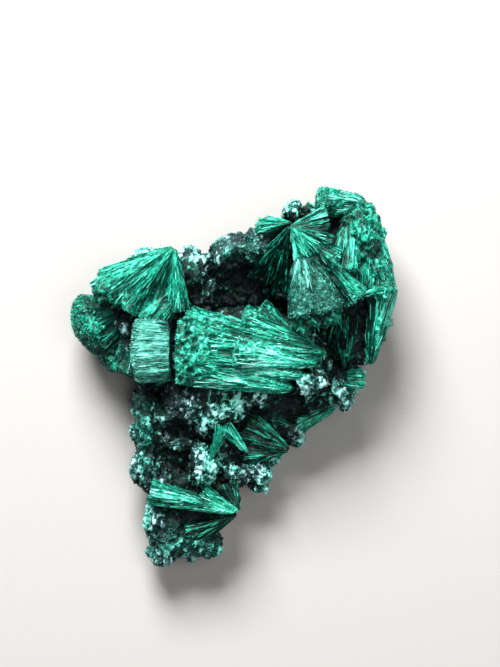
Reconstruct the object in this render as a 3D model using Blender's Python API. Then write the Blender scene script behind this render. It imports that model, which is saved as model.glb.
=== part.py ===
"""Velvet malachite, a hand specimen of fibrous malachite grown as one mass.

Sprays of fibres open from sharp apexes into broad, domed ends, and stand on a dark, craggy matrix.
All of it is one stone, so all of it is one closed solid. The stone lies on its broken back with its
face up. The tables draw it on a grid: X to the right of the face, Y up the face, Z out of the face.
The origin is under the middle of the stone's bounding box.
"""

import math
from typing import NamedTuple

import bmesh
import bpy
from mathutils import Matrix, Vector, noise

# The real size of one grid step, in metres. It makes the stone about 31 mm wide and 36 mm long.
GRID = 0.00094

# How finely the stone is gathered into one skin, in grid steps, and how many facets it keeps.
SKIN_STEP = 0.2
FACETS = 9300

# A spray is a unit ball drawn out: this share of the ball, from one pole, is the fibres' sides,
# and the rest is the domed end where the fibre tips meet.
SIDES_SHARE = 0.72
BUNDLES_ROUND = 2.2
BUNDLE_HEIGHT = 0.18
SEED_STEP = 7.3

# The matrix is broken into blocks about this many to a grid step, with knobbly faces between cracks.
BLOCKS_PER_STEP = 0.46
BLOCK_HEIGHT = 0.95
KNOB_HEIGHT = 0.3


class Spray(NamedTuple):
    """A bundle of fibres that opens from its apex to a broad end."""

    apex: tuple
    tips: tuple
    width: float
    thick: float
    roll: float = 0.0
    flare: float = 0.8
    root: float = 0.1
    dome: float = 0.08
    corner: float = 2.4


class Lump(NamedTuple):
    """A craggy swelling of the matrix."""

    centre: tuple
    radii: tuple
    turn: float = 0.0


STAR = (5.8, 15.0, 13.0)
SPRAYS = {
    "barrel": [
        Spray((9.3, 2.3, 9.5), (-5.2, 3.1, 8.4), 6.6, 6.6, flare=0.65, dome=0.05, corner=2.6),
        Spray((9.5, 2.5, 10.4), (-4.5, 4.9, 9.3), 4.6, 4.8, roll=-6, flare=0.75),
        Spray((8.6, 1.3, 10.1), (0.4, 2.7, 10.3), 3.4, 3.6, flare=0.75),
        Spray((6.2, -1.1, 9.4), (-4.8, 1.9, 9.0), 5.4, 5.4, roll=6, flare=0.7, dome=0.05),
        Spray((7.6, 0.1, 9.9), (-4.6, 2.7, 9.2), 4.4, 4.9, roll=4, flare=0.7),
        Spray((8.4, 3.2, 10.4), (1.2, 5.7, 9.9), 3.2, 3.2, flare=0.7),
        Spray((6.8, 4.0, 10.2), (3.0, 7.0, 10.0), 2.0, 1.6),
    ],
    "column": [
        Spray((-6.0, 2.9, 8.7), (-9.1, 2.9, 8.6), 6.4, 6.0, flare=0.2, root=0.9, dome=0.1, corner=3.2),
    ],
    "left_fan": [
        Spray((-5.8, 13.0, 11.6), (-12.2, 8.8, 8.9), 4.6, 4.6, roll=12, corner=1.35),
        Spray((-5.8, 12.9, 11.7), (-10.4, 7.4, 9.4), 3.6, 3.0, roll=6),
        Spray((-5.7, 12.8, 11.2), (-7.9, 6.6, 8.8), 3.0, 2.8),
        Spray((-5.6, 12.9, 11.7), (-5.3, 7.2, 9.7), 2.4, 2.8, roll=-6),
        Spray((-5.0, 9.2, 9.6), (-8.2, 5.7, 9.0), 3.2, 3.4, flare=0.5, root=0.3),
    ],
    "left_lobe": [
        Spray((-9.8, 7.0, 4.9), (-13.9, 5.2, 5.4), 6.8, 6.6, flare=0.55, dome=0.32),
        Spray((-10.2, 4.4, 4.6), (-12.0, 1.6, 4.9), 3.4, 3.8, dome=0.3),
        Spray((-7.8, 11.6, 7.6), (-13.3, 8.4, 6.4), 2.8, 3.0, flare=0.5, dome=0.2),
        Spray((-9.3, 7.2, 6.6), (-10.6, 0.8, 6.2), 3.6, 3.4, flare=0.5, root=0.3),
    ],
    "star": [
        Spray(STAR, (9.7, 13.8, 13.3), 1.4, 1.2),
        Spray(STAR, (9.1, 16.0, 12.4), 2.6, 1.9),
        Spray(STAR, (7.0, 12.1, 12.8), 1.8, 1.9),
        Spray(STAR, (10.0, 11.9, 12.2), 2.8, 2.4),
        Spray(STAR, (12.0, 8.0, 10.7), 3.2, 3.2, flare=0.6),
        Spray((5.8, 15.4, 12.2), (3.5, 15.0, 9.6), 2.2, 3.0, dome=0.2),
    ],
    "star_shade": [
        Spray(STAR, (3.4, 10.6, 7.2), 3.8, 2.6, roll=-25),
        Spray(STAR, (5.4, 8.9, 7.6), 2.8, 2.8, roll=10),
    ],
    "tongue": [
        Spray((6.9, 12.0, 13.4), (7.1, 6.4, 12.7), 3.0, 2.8, flare=0.5, root=0.35, dome=0.2),
        Spray((7.4, 11.9, 13.6), (9.2, 7.0, 13.0), 3.4, 2.8, flare=0.6, root=0.35, dome=0.22),
    ],
    "cap": [
        Spray((13.3, 17.2, 9.8), (9.0, 17.5, 10.4), 3.4, 3.8, flare=0.4, root=0.3, dome=0.2),
    ],
    "cheek": [
        Spray((11.7, 15.4, 10.4), (11.4, 10.6, 11.2), 3.0, 2.8, flare=0.5, root=0.3),
        Spray((14.0, 15.4, 7.6), (15.0, 8.4, 7.8), 3.2, 4.8, flare=0.5, root=0.35),
        Spray((12.6, 12.2, 9.4), (12.3, 8.6, 9.2), 3.6, 3.2, flare=0.4, root=0.5),
    ],
    "right_lobe": [
        Spray((13.9, 1.2, 8.0), (15.0, 8.9, 8.2), 2.9, 5.2, roll=-12, flare=0.55),
        Spray((12.3, 8.0, 10.7), (14.6, 8.6, 10.9), 0.8, 0.9, root=0.5),
        Spray((9.6, 3.2, 10.0), (10.1, 6.0, 10.8), 0.9, 0.9),
        Spray((11.3, 0.8, 7.2), (11.4, 2.4, 8.0), 1.1, 1.1),
    ],
    "side_shade": [
        Spray((11.0, 1.6, 6.2), (11.3, 6.4, 7.5), 3.2, 3.2, flare=0.4, root=0.4),
        Spray((6.6, -5.2, 5.6), (2.6, -3.2, 4.6), 2.6, 2.4, roll=10),
        Spray((5.8, -7.3, 6.4), (1.9, -5.0, 5.6), 3.2, 2.6, flare=0.7),
        Spray((5.7, -7.4, 5.6), (1.6, -7.6, 4.8), 2.6, 2.6),
    ],
    "pale_blades": [
        Spray((11.2, -0.1, 6.8), (12.9, -0.2, 6.6), 2.1, 2.6, flare=0.3, root=0.7, corner=3.2),
        Spray((10.6, -2.8, 6.2), (7.1, -4.7, 5.7), 1.7, 2.2, flare=0.6),
        Spray((1.7, -7.7, 7.2), (-0.6, -5.3, 7.7), 1.4, 1.4),
        Spray((-2.5, -8.9, 7.8), (-1.0, -5.2, 8.4), 1.4, 1.6),
    ],
    "foot_fan": [
        Spray((0.3, -13.6, 7.2), (-8.0, -11.5, 6.9), 2.6, 2.8, flare=0.75, roll=6),
        Spray((0.7, -13.5, 7.0), (-2.7, -11.8, 6.7), 1.9, 2.0),
    ],
    "foot_shade": [
        Spray((0.7, -13.4, 6.7), (-0.4, -11.2, 5.9), 2.4, 2.2),
        Spray((0.5, -13.7, 6.2), (-3.8, -15.6, 4.7), 3.0, 3.2),
    ],
    "back_sprays": [
        Spray((-4.5, -3.0, 3.6), (-9.6, 2.4, 3.0), 5.0, 4.2),
        Spray((4.0, 5.0, 3.6), (12.2, 6.6, 4.0), 6.4, 5.4),
        Spray((3.0, 9.0, 4.2), (9.6, 15.6, 4.8), 6.4, 5.6),
    ],
}

LUMPS = {
    "matrix_middle": [
        Lump((0.8, 2.2, 4.4), (9.6, 5.2, 4.7)),
        Lump((3.6, -3.2, 3.6), (4.4, 3.0, 2.9), 15),
        Lump((9.2, -0.6, 3.8), (4.2, 2.6, 3.2), 15),
        Lump((-4.4, -2.4, 6.0), (3.2, 2.6, 3.2)),
        Lump((-2.2, -3.9, 6.0), (1.9, 2.3, 2.5)),
        Lump((-0.6, -2.4, 6.4), (2.8, 1.8, 2.5), -6),
        Lump((2.2, -1.9, 7.0), (2.4, 1.2, 2.2), -14),
        Lump((7.9, -0.3, 8.7), (1.9, 1.3, 2.3)),
        Lump((11.1, -1.7, 5.2), (1.2, 1.6, 2.3)),
        Lump((6.0, -5.2, 4.0), (1.6, 1.9, 2.1)),
    ],
    "matrix_left": [
        Lump((-8.2, 5.6, 4.4), (4.8, 5.8, 4.4), 20),
        Lump((-11.8, 4.8, 3.4), (3.2, 4.0, 3.2), 10),
        Lump((-8.8, 11.5, 7.0), (2.6, 1.5, 3.0), 28),
        Lump((-4.2, 10.6, 5.4), (2.2, 2.6, 3.6)),
        Lump((-3.1, 8.4, 5.2), (2.2, 2.4, 2.8)),
    ],
    "matrix_right": [
        Lump((9.6, 11.4, 5.4), (5.6, 6.2, 5.8)),
        Lump((0.6, 9.4, 3.0), (5.8, 4.2, 2.9)),
        Lump((12.4, 6.4, 4.4), (3.6, 5.4, 4.2)),
        Lump((0.2, 12.6, 6.6), (3.1, 1.9, 3.2), 20),
        Lump((3.2, 13.4, 7.2), (3.0, 2.0, 3.4), 30),
        Lump((6.3, 16.6, 9.4), (1.4, 1.2, 2.2)),
        Lump((11.0, 6.9, 8.2), (1.4, 1.2, 1.6)),
    ],
    "cheek_dome": [
        Lump((12.5, 14.4, 7.6), (2.6, 3.9, 4.6), 8),
        Lump((13.9, 11.0, 7.2), (2.0, 3.0, 3.4)),
        Lump((7.2, 5.8, 12.0), (1.6, 1.0, 1.6)),
        Lump((9.6, 6.3, 12.2), (1.4, 1.1, 1.5)),
    ],
    "matrix_foot": [
        Lump((-5.2, -6.0, 2.2), (4.4, 6.4, 3.0)),
        Lump((-5.0, -13.6, 2.7), (3.9, 5.0, 3.4)),
        Lump((0.6, -6.8, 2.6), (4.8, 4.2, 2.9), 35),
        Lump((-8.6, -5.4, 4.6), (1.6, 3.0, 3.2)),
        Lump((-8.6, -9.0, 4.4), (1.6, 2.6, 2.9)),
        Lump((-7.0, -3.9, 5.4), (1.2, 1.2, 2.5)),
        Lump((-5.2, -6.9, 4.4), (1.9, 0.8, 2.2), 10),
        Lump((-2.8, -8.8, 5.6), (1.7, 2.6, 2.7)),
        Lump((0.3, -9.8, 4.6), (1.6, 1.4, 2.3)),
        Lump((2.6, -9.9, 3.9), (1.4, 1.6, 2.2)),
        Lump((-6.6, -10.6, 5.0), (2.6, 0.9, 2.2)),
        Lump((-8.4, -2.6, 3.8), (1.9, 2.4, 3.2)),
        Lump((-6.6, -14.6, 4.2), (2.3, 3.4, 2.6)),
        Lump((-7.0, -17.4, 3.4), (1.7, 1.9, 2.3)),
        Lump((-3.2, -16.8, 3.2), (2.4, 1.7, 2.6)),
    ],
}


def axes_of(spray):
    """The spray's own axes as columns: across its face, out of its face, and along its fibres."""
    along = (Vector(spray.tips) - Vector(spray.apex)).normalized()
    out = (Vector((0, 0, 1)) - along * along.z).normalized()
    out.rotate(Matrix.Rotation(math.radians(spray.roll), 3, along))
    across = out.cross(along)
    return Matrix((across, out, along)).transposed()


def rounded(share, corner):
    """A cosine or sine pushed towards a square corner, or towards a crest where corner is under 2."""
    return math.copysign(abs(share) ** (2 / corner), share)


def spray_point(spray, axes, unit, seed):
    """Where a point of the unit ball goes when the ball is drawn out into this spray."""
    from_apex = math.acos(max(-1.0, min(1.0, -unit.z))) / math.pi
    turn = math.atan2(unit.y, unit.x)
    along = min(from_apex / SIDES_SHARE, 1.0)
    past = max(from_apex - SIDES_SHARE, 0.0) / (1 - SIDES_SHARE) * math.pi / 2
    opened = (spray.root + (1 - spray.root) * along**spray.flare) * math.cos(past)
    if from_apex < 1e-4:
        opened = 0.0
    round_place = Vector((math.cos(turn) * BUNDLES_ROUND, math.sin(turn) * BUNDLES_ROUND, seed))
    opened *= 1 + BUNDLE_HEIGHT * noise.noise(round_place)
    length = (Vector(spray.tips) - Vector(spray.apex)).length
    local = Vector((
        opened * spray.width / 2 * rounded(math.cos(turn), spray.corner),
        opened * spray.thick / 2 * rounded(math.sin(turn), spray.corner),
        length * along + spray.width * spray.dome * math.sin(past),
    ))
    return Vector(spray.apex) + axes @ local


def add_spray(bm, spray, seed):
    """Adds one spray, as a closed body with its apex at one pole of a ball."""
    segments = 32 if spray.width > 2 else 18
    ball = bmesh.ops.create_uvsphere(bm, u_segments=segments, v_segments=16, radius=1.0)
    axes = axes_of(spray)
    for vert in ball["verts"]:
        vert.co = spray_point(spray, axes, vert.co, seed)


def crag(place):
    """How far the matrix stands out at a place: blocks with cracks between them, and knobs on top."""
    nearest = noise.voronoi(place * BLOCKS_PER_STEP)[0]
    block = min(nearest[1] - nearest[0], 0.5) - 0.3
    return BLOCK_HEIGHT * block + KNOB_HEIGHT * noise.fractal(place, 1.0, 2.0, 2)


def add_lump(bm, lump):
    """Adds one lump of matrix, a ball with a craggy skin."""
    fineness = 5 if max(lump.radii) > 4 else 4
    ball = bmesh.ops.create_icosphere(bm, subdivisions=fineness, radius=1.0)
    turn = Matrix.Rotation(math.radians(lump.turn), 3, "Z")
    for vert in ball["verts"]:
        reach = turn @ Vector([a * b for a, b in zip(vert.co, lump.radii)])
        place = Vector(lump.centre) + reach
        vert.co = place + reach.normalized() * crag(place)


def mesh_of(name, fill):
    """A mesh made by a function that fills a bmesh."""
    bm = bmesh.new()
    fill(bm)
    mesh = bpy.data.meshes.new(name)
    bm.to_mesh(mesh)
    bm.free()
    return mesh


def fill_growth(bm):
    """Every spray and lump, still overlapping as they grew."""
    sprays = [spray for region in SPRAYS.values() for spray in region]
    for number, spray in enumerate(sprays):
        add_spray(bm, spray, number * SEED_STEP)
    for region in LUMPS.values():
        for lump in region:
            add_lump(bm, lump)


def with_modifier(obj, kind, **settings):
    """Runs one modifier on the object and keeps its result as the object's mesh."""
    modifier = obj.modifiers.new(kind.title(), kind)
    for key, value in settings.items():
        setattr(modifier, key, value)
    graph = bpy.context.evaluated_depsgraph_get()
    result = bpy.data.meshes.new_from_object(obj.evaluated_get(graph))
    obj.modifiers.clear()
    obj.data = result


def keep_outer_skin(mesh):
    """Removes the small closed skins that gathering leaves around voids inside the stone."""
    bm = bmesh.new()
    bm.from_mesh(mesh)
    left = set(bm.verts)
    skins = []
    while left:
        edge = [left.pop()]
        skin = set()
        while edge:
            vert = edge.pop()
            skin.add(vert)
            found = {e.other_vert(vert) for e in vert.link_edges} & left
            left -= found
            edge.extend(found)
        skins.append(skin)
    outer = max(skins, key=len)
    inner = [vert for skin in skins if skin is not outer for vert in skin]
    bmesh.ops.delete(bm, geom=inner, context="VERTS")
    bm.to_mesh(mesh)
    bm.free()


def resting_cutter():
    """A block that takes off what reaches below the plane that the stone rests on."""
    side = 60.0
    def fill(bm):
        bmesh.ops.create_cube(bm, size=side, matrix=Matrix.Translation((0, 0, -side / 2)))
    block = bpy.data.objects.new("resting_cutter", mesh_of("resting_cutter", fill))
    block.hide_render = True
    block.display_type = "WIRE"
    bpy.context.scene.collection.objects.link(block)
    return block


def stone_material():
    """Deep green, with the low shine of packed fibres."""
    material = bpy.data.materials.new("malachite")
    material.use_nodes = True
    shader = material.node_tree.nodes["Principled BSDF"]
    shader.inputs["Base Color"].default_value = (0.03, 0.27, 0.17, 1.0)
    shader.inputs["Roughness"].default_value = 0.5
    shader.inputs["Metallic"].default_value = 0.0
    return material


def main():
    for obj in list(bpy.data.objects):
        bpy.data.objects.remove(obj)
    stone = bpy.data.objects.new("malachite", mesh_of("malachite", fill_growth))
    bpy.context.scene.collection.objects.link(stone)
    with_modifier(stone, "REMESH", mode="VOXEL", voxel_size=SKIN_STEP)
    keep_outer_skin(stone.data)
    with_modifier(stone, "DECIMATE", ratio=FACETS / (2 * len(stone.data.polygons)))
    cutter = resting_cutter()
    with_modifier(stone, "BOOLEAN", operation="DIFFERENCE", solver="EXACT", object=cutter)
    for obj in (stone, cutter):
        obj.data.transform(Matrix.Scale(GRID, 4))
    stone.data.materials.clear()
    stone.data.materials.append(stone_material())


main()
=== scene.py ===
# %% [markdown]
# Velvet malachite is a mineral that grows as sprays of fibres. Each spray starts at a sharp apex and
# opens to a broad end, and the fibre tips there look like velvet. The stone is one solid in the frame,
# so this script only dresses it: a craggy dark matrix, the sprays' grooved bodies, and the loose
# splinters and small crystals that lie on them.

# %% Load the frame
import math
from typing import NamedTuple

import bmesh
import bpy
import numpy as np
from mathutils import Matrix, Vector, noise
from mathutils.bvhtree import BVHTree
from mathutils.kdtree import KDTree


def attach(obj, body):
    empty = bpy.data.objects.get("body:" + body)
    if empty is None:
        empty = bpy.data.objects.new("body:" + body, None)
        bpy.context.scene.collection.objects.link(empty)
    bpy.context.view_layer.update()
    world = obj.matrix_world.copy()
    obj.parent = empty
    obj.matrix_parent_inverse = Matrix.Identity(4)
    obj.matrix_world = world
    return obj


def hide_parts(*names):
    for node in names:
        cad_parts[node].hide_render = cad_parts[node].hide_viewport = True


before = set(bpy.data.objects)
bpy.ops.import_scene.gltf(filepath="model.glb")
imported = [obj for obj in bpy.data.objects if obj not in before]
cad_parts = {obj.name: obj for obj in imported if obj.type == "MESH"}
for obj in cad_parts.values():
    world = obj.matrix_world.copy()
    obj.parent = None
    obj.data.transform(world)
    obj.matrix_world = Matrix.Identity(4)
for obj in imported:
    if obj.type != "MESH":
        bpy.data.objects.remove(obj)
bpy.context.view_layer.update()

# %% [markdown]
# The stone is drawn on a grid, and one step of it is under a millimetre. The same sprays and lumps
# that make up the solid are repeated here, because the finish has to sit on the same forms. A spray
# needs only its apex, the middle of its tips, a width and a thickness, and a few shares that say how
# it opens.

# %% The drawing of the stone
GRID = 0.00094


class Spray(NamedTuple):
    """A bundle of fibres that opens from its apex to a broad end."""

    apex: tuple
    tips: tuple
    width: float
    thick: float
    roll: float = 0.0
    flare: float = 0.8
    root: float = 0.1
    dome: float = 0.08
    corner: float = 2.4


class Lump(NamedTuple):
    """A craggy swelling of the matrix."""

    centre: tuple
    radii: tuple
    turn: float = 0.0


STAR = (5.8, 15.0, 13.0)
SPRAYS = {
    "barrel": [
        Spray((9.3, 2.3, 9.5), (-5.2, 3.1, 8.4), 6.6, 6.6, flare=0.65, dome=0.05, corner=2.6),
        Spray((9.5, 2.5, 10.4), (-4.5, 4.9, 9.3), 4.6, 4.8, roll=-6, flare=0.75),
        Spray((8.6, 1.3, 10.1), (0.4, 2.7, 10.3), 3.4, 3.6, flare=0.75),
        Spray((6.2, -1.1, 9.4), (-4.8, 1.9, 9.0), 5.4, 5.4, roll=6, flare=0.7, dome=0.05),
        Spray((7.6, 0.1, 9.9), (-4.6, 2.7, 9.2), 4.4, 4.9, roll=4, flare=0.7),
        Spray((8.4, 3.2, 10.4), (1.2, 5.7, 9.9), 3.2, 3.2, flare=0.7),
        Spray((6.8, 4.0, 10.2), (3.0, 7.0, 10.0), 2.0, 1.6),
    ],
    "column": [
        Spray((-6.0, 2.9, 8.7), (-9.1, 2.9, 8.6), 6.4, 6.0, flare=0.2, root=0.9, dome=0.1, corner=3.2),
    ],
    "left_fan": [
        Spray((-5.8, 13.0, 11.6), (-12.2, 8.8, 8.9), 4.6, 4.6, roll=12, corner=1.35),
        Spray((-5.8, 12.9, 11.7), (-10.4, 7.4, 9.4), 3.6, 3.0, roll=6),
        Spray((-5.7, 12.8, 11.2), (-7.9, 6.6, 8.8), 3.0, 2.8),
        Spray((-5.6, 12.9, 11.7), (-5.3, 7.2, 9.7), 2.4, 2.8, roll=-6),
        Spray((-5.0, 9.2, 9.6), (-8.2, 5.7, 9.0), 3.2, 3.4, flare=0.5, root=0.3),
    ],
    "left_lobe": [
        Spray((-9.8, 7.0, 4.9), (-13.9, 5.2, 5.4), 6.8, 6.6, flare=0.55, dome=0.32),
        Spray((-10.2, 4.4, 4.6), (-12.0, 1.6, 4.9), 3.4, 3.8, dome=0.3),
        Spray((-7.8, 11.6, 7.6), (-13.3, 8.4, 6.4), 2.8, 3.0, flare=0.5, dome=0.2),
        Spray((-9.3, 7.2, 6.6), (-10.6, 0.8, 6.2), 3.6, 3.4, flare=0.5, root=0.3),
    ],
    "star": [
        Spray(STAR, (9.7, 13.8, 13.3), 1.4, 1.2),
        Spray(STAR, (9.1, 16.0, 12.4), 2.6, 1.9),
        Spray(STAR, (7.0, 12.1, 12.8), 1.8, 1.9),
        Spray(STAR, (10.0, 11.9, 12.2), 2.8, 2.4),
        Spray(STAR, (12.0, 8.0, 10.7), 3.2, 3.2, flare=0.6),
        Spray((5.8, 15.4, 12.2), (3.5, 15.0, 9.6), 2.2, 3.0, dome=0.2),
    ],
    "star_shade": [
        Spray(STAR, (3.4, 10.6, 7.2), 3.8, 2.6, roll=-25),
        Spray(STAR, (5.4, 8.9, 7.6), 2.8, 2.8, roll=10),
    ],
    "tongue": [
        Spray((6.9, 12.0, 13.4), (7.1, 6.4, 12.7), 3.0, 2.8, flare=0.5, root=0.35, dome=0.2),
        Spray((7.4, 11.9, 13.6), (9.2, 7.0, 13.0), 3.4, 2.8, flare=0.6, root=0.35, dome=0.22),
    ],
    "cap": [
        Spray((13.3, 17.2, 9.8), (9.0, 17.5, 10.4), 3.4, 3.8, flare=0.4, root=0.3, dome=0.2),
    ],
    "cheek": [
        Spray((11.7, 15.4, 10.4), (11.4, 10.6, 11.2), 3.0, 2.8, flare=0.5, root=0.3),
        Spray((14.0, 15.4, 7.6), (15.0, 8.4, 7.8), 3.2, 4.8, flare=0.5, root=0.35),
        Spray((12.6, 12.2, 9.4), (12.3, 8.6, 9.2), 3.6, 3.2, flare=0.4, root=0.5),
    ],
    "right_lobe": [
        Spray((13.9, 1.2, 8.0), (15.0, 8.9, 8.2), 2.9, 5.2, roll=-12, flare=0.55),
        Spray((12.3, 8.0, 10.7), (14.6, 8.6, 10.9), 0.8, 0.9, root=0.5),
        Spray((9.6, 3.2, 10.0), (10.1, 6.0, 10.8), 0.9, 0.9),
        Spray((11.3, 0.8, 7.2), (11.4, 2.4, 8.0), 1.1, 1.1),
    ],
    "side_shade": [
        Spray((11.0, 1.6, 6.2), (11.3, 6.4, 7.5), 3.2, 3.2, flare=0.4, root=0.4),
        Spray((6.6, -5.2, 5.6), (2.6, -3.2, 4.6), 2.6, 2.4, roll=10),
        Spray((5.8, -7.3, 6.4), (1.9, -5.0, 5.6), 3.2, 2.6, flare=0.7),
        Spray((5.7, -7.4, 5.6), (1.6, -7.6, 4.8), 2.6, 2.6),
    ],
    "pale_blades": [
        Spray((11.2, -0.1, 6.8), (12.9, -0.2, 6.6), 2.1, 2.6, flare=0.3, root=0.7, corner=3.2),
        Spray((10.6, -2.8, 6.2), (7.1, -4.7, 5.7), 1.7, 2.2, flare=0.6),
        Spray((1.7, -7.7, 7.2), (-0.6, -5.3, 7.7), 1.4, 1.4),
        Spray((-2.5, -8.9, 7.8), (-1.0, -5.2, 8.4), 1.4, 1.6),
    ],
    "foot_fan": [
        Spray((0.3, -13.6, 7.2), (-8.0, -11.5, 6.9), 2.6, 2.8, flare=0.75, roll=6),
        Spray((0.7, -13.5, 7.0), (-2.7, -11.8, 6.7), 1.9, 2.0),
    ],
    "foot_shade": [
        Spray((0.7, -13.4, 6.7), (-0.4, -11.2, 5.9), 2.4, 2.2),
        Spray((0.5, -13.7, 6.2), (-3.8, -15.6, 4.7), 3.0, 3.2),
    ],
    "back_sprays": [
        Spray((-4.5, -3.0, 3.6), (-9.6, 2.4, 3.0), 5.0, 4.2),
        Spray((4.0, 5.0, 3.6), (12.2, 6.6, 4.0), 6.4, 5.4),
        Spray((3.0, 9.0, 4.2), (9.6, 15.6, 4.8), 6.4, 5.6),
    ],
}

LUMPS = {
    "matrix_middle": [
        Lump((0.8, 2.2, 4.4), (9.6, 5.2, 4.7)), Lump((3.6, -3.2, 3.6), (4.4, 3.0, 2.9), 15),
        Lump((9.2, -0.6, 3.8), (4.2, 2.6, 3.2), 15), Lump((-4.4, -2.4, 6.0), (3.2, 2.6, 3.2)),
        Lump((-2.2, -3.9, 6.0), (1.9, 2.3, 2.5)), Lump((-0.6, -2.4, 6.4), (2.8, 1.8, 2.5), -6),
        Lump((2.2, -1.9, 7.0), (2.4, 1.2, 2.2), -14), Lump((7.9, -0.3, 8.7), (1.9, 1.3, 2.3)),
        Lump((11.1, -1.7, 5.2), (1.2, 1.6, 2.3)), Lump((6.0, -5.2, 4.0), (1.6, 1.9, 2.1)),
    ],
    "matrix_left": [
        Lump((-8.2, 5.6, 4.4), (4.8, 5.8, 4.4), 20), Lump((-11.8, 4.8, 3.4), (3.2, 4.0, 3.2), 10),
        Lump((-8.8, 11.5, 7.0), (2.6, 1.5, 3.0), 28), Lump((-4.2, 10.6, 5.4), (2.2, 2.6, 3.6)),
        Lump((-3.1, 8.4, 5.2), (2.2, 2.4, 2.8)),
    ],
    "matrix_right": [
        Lump((9.6, 11.4, 5.4), (5.6, 6.2, 5.8)), Lump((0.6, 9.4, 3.0), (5.8, 4.2, 2.9)),
        Lump((12.4, 6.4, 4.4), (3.6, 5.4, 4.2)), Lump((0.2, 12.6, 6.6), (3.1, 1.9, 3.2), 20),
        Lump((3.2, 13.4, 7.2), (3.0, 2.0, 3.4), 30), Lump((6.3, 16.6, 9.4), (1.4, 1.2, 2.2)),
        Lump((11.0, 6.9, 8.2), (1.4, 1.2, 1.6)),
    ],
    "cheek_dome": [
        Lump((12.5, 14.4, 7.6), (2.6, 3.9, 4.6), 8), Lump((13.9, 11.0, 7.2), (2.0, 3.0, 3.4)),
        Lump((7.2, 5.8, 12.0), (1.6, 1.0, 1.6)), Lump((9.6, 6.3, 12.2), (1.4, 1.1, 1.5)),
    ],
    "matrix_foot": [
        Lump((-5.2, -6.0, 2.2), (4.4, 6.4, 3.0)), Lump((-5.0, -13.6, 2.7), (3.9, 5.0, 3.4)),
        Lump((0.6, -6.8, 2.6), (4.8, 4.2, 2.9), 35), Lump((-8.6, -5.4, 4.6), (1.6, 3.0, 3.2)),
        Lump((-8.6, -9.0, 4.4), (1.6, 2.6, 2.9)), Lump((-7.0, -3.9, 5.4), (1.2, 1.2, 2.5)),
        Lump((-5.2, -6.9, 4.4), (1.9, 0.8, 2.2), 10), Lump((-2.8, -8.8, 5.6), (1.7, 2.6, 2.7)),
        Lump((0.3, -9.8, 4.6), (1.6, 1.4, 2.3)), Lump((2.6, -9.9, 3.9), (1.4, 1.6, 2.2)),
        Lump((-6.6, -10.6, 5.0), (2.6, 0.9, 2.2)), Lump((-8.4, -2.6, 3.8), (1.9, 2.4, 3.2)),
        Lump((-6.6, -14.6, 4.2), (2.3, 3.4, 2.6)), Lump((-7.0, -17.4, 3.4), (1.7, 1.9, 2.3)),
        Lump((-3.2, -16.8, 3.2), (2.4, 1.7, 2.6)),
    ],
}
print("sprays:", sum(map(len, SPRAYS.values())), "lumps:", sum(map(len, LUMPS.values())))

# %% [markdown]
# Every piece ends the same way. Its mesh is scaled from grid steps to metres, whatever reaches below
# the resting plane is flattened onto it, as the solid is cut there, and the piece is tied to the
# stone's one body. Values that the finishes need, such as how far along a fibre a point is, are kept
# on the mesh as attributes.

# %% Meshes, objects and pieces
PIECES = {}


def rows(items, field, width=3):
    """Reads a vector of every item of a mesh collection into a table."""
    table = np.empty(len(items) * width, dtype=np.float32)
    items.foreach_get(field, table)
    return table.reshape(-1, width).astype(float)


def unit_rows(table):
    return table / np.maximum(np.linalg.norm(table, axis=1, keepdims=True), 1e-9)


def mesh_of(bm, name):
    mesh = bpy.data.meshes.new(name)
    bm.to_mesh(mesh)
    bm.free()
    return mesh


def add_object(name, data):
    made = bpy.data.objects.new(name, data)
    bpy.context.scene.collection.objects.link(made)
    return made


def applied(source):
    """The mesh that an object's modifiers make, in place of the object."""
    graph = bpy.context.evaluated_depsgraph_get()
    mesh = bpy.data.meshes.new_from_object(source.evaluated_get(graph))
    bpy.data.objects.remove(source)
    return mesh


def keep_values(mesh, **values):
    """Keeps one number, or one vector, for each point of a mesh."""
    for name, array in values.items():
        is_vector = array.ndim == 2
        kind = "FLOAT_VECTOR" if is_vector else "FLOAT"
        kept = mesh.attributes.new(name, kind, "POINT")
        kept.data.foreach_set("vector" if is_vector else "value", array.astype(np.float32).ravel())


def finish_piece(name, mesh, points, smooth=True):
    """Gives the mesh its points, in grid steps, and makes it a piece of the stone."""
    points = points.copy()
    points[:, 2] = np.maximum(points[:, 2], 0.0)
    mesh.vertices.foreach_set("co", (points * GRID).astype(np.float32).ravel())
    mesh.polygons.foreach_set("use_smooth", [smooth] * len(mesh.polygons))
    mesh.update()
    piece = add_object(name, mesh)
    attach(piece, "root")
    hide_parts("malachite")
    PIECES[name] = piece
    triangles = sum(len(face.vertices) - 2 for face in mesh.polygons)
    print(f"{name}: {triangles} triangles")


# %% [markdown]
# The hollows of the real stone are nearly black, partly because dark crystals line them and partly
# because little light gets in. So each place needs to know how open it is: the finishes darken closed
# places with it, which paints shade into the hollows. Rays from the faces of the frame's solid measure
# that, and the nearest faces pass it on. The same solid tells how deep a place is buried, so that no
# splinter is spent where nobody could see it.

# %% How open and how deep a place is
SKY_RAYS = 64
SKY_REACH = 8.0
SHARED_FACES = 5

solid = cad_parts["malachite"].data
SOLID = BVHTree.FromPolygons(
    [vert.co / GRID for vert in solid.vertices], [face.vertices[:] for face in solid.polygons]
)


def sky_directions(count):
    """Directions spread evenly over a ball."""
    steps = np.arange(count) + 0.5
    height = 1 - 2 * steps / count
    turn = steps * math.pi * (1 + math.sqrt(5))
    ring = np.sqrt(1 - height**2)
    return [Vector(row) for row in np.stack([ring * np.cos(turn), ring * np.sin(turn), height], 1)]


def sky_seen(place, normal, directions):
    """The share of the sky over a face that nothing nearby hides."""
    start = place + normal * 0.1
    facing = [(direction, direction.dot(normal)) for direction in directions]
    facing = [(direction, share) for direction, share in facing if share > 0.05]
    free = [share for direction, share in facing if not SOLID.ray_cast(start, direction, SKY_REACH)[0]]
    return sum(free) / sum(share for _, share in facing)


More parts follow.
